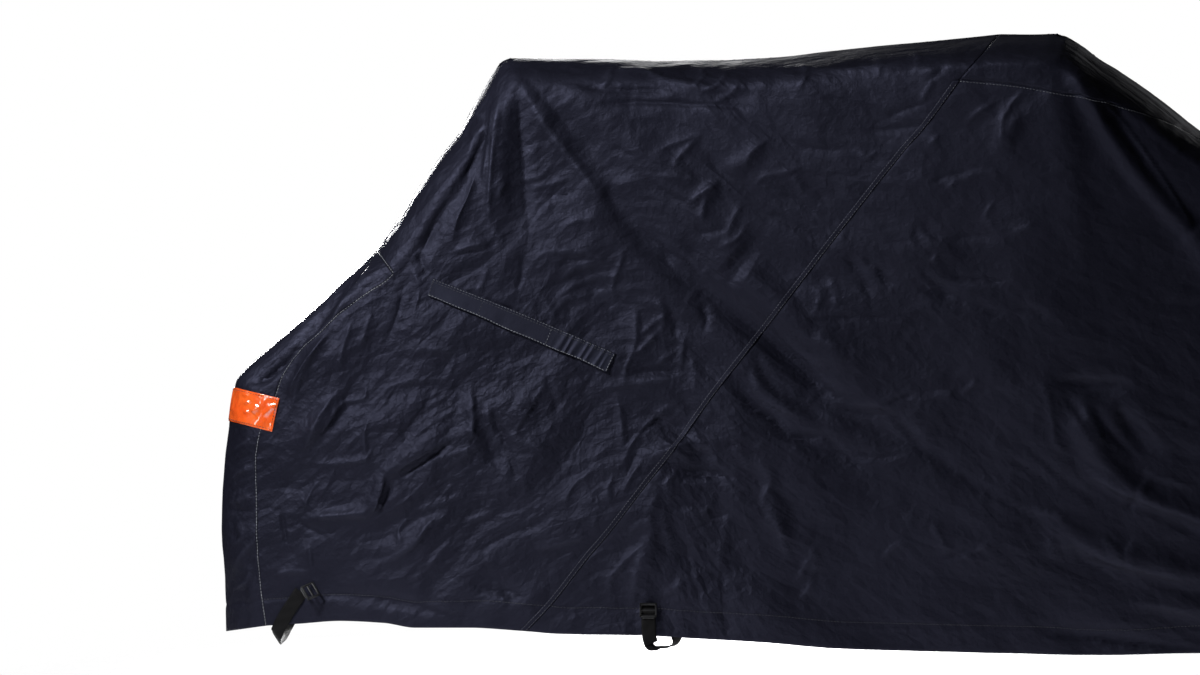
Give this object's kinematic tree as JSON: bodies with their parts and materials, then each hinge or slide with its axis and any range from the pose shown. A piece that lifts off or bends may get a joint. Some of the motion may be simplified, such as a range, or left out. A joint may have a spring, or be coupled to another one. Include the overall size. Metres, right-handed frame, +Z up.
{
  "type": "fitted cover for a long two-wheeled cargo bicycle, hanging in the shape of the bicycle",
  "caption": "Fitted cloth cover for a long two-wheeled cargo bicycle, draped as in use, with an over-seat flap, a reflective tail patch and hem straps with ladder-lock buckles.",
  "frame": {"origin": "under the top of the cover, where the cloth rests on the saddle of the bicycle that it covers", "axes": "+X forward along the bicycle, +Z up, +Y to the bicycle's left; the right-hand side, with the flap and the side strap, faces -Y"},
  "size_m": [2.5889, 0.5894, 0.9057],
  "materials": {
    "cloth": "thin coated cloth, dark navy grey, soft sheen on its creases",
    "flap_cloth": "the same coated cloth, two layers, double stitched",
    "reflector": "orange retroreflective film on a sewn patch, glossy",
    "webbing": "black ribbed webbing, matte",
    "buckle": "black moulded plastic, satin"
  },
  "bodies": {
    "root": {"body_rear": "cloth", "tail_gusset": "cloth", "front_side_right": "cloth", "front_side_left": "cloth", "front_top": "cloth", "flap": "flap_cloth", "reflector_patch": "reflector", "strap_side": "webbing", "buckle_side": "buckle", "strap_rear": "webbing", "buckle_rear": "buckle"}
  },
  "joints": []
}
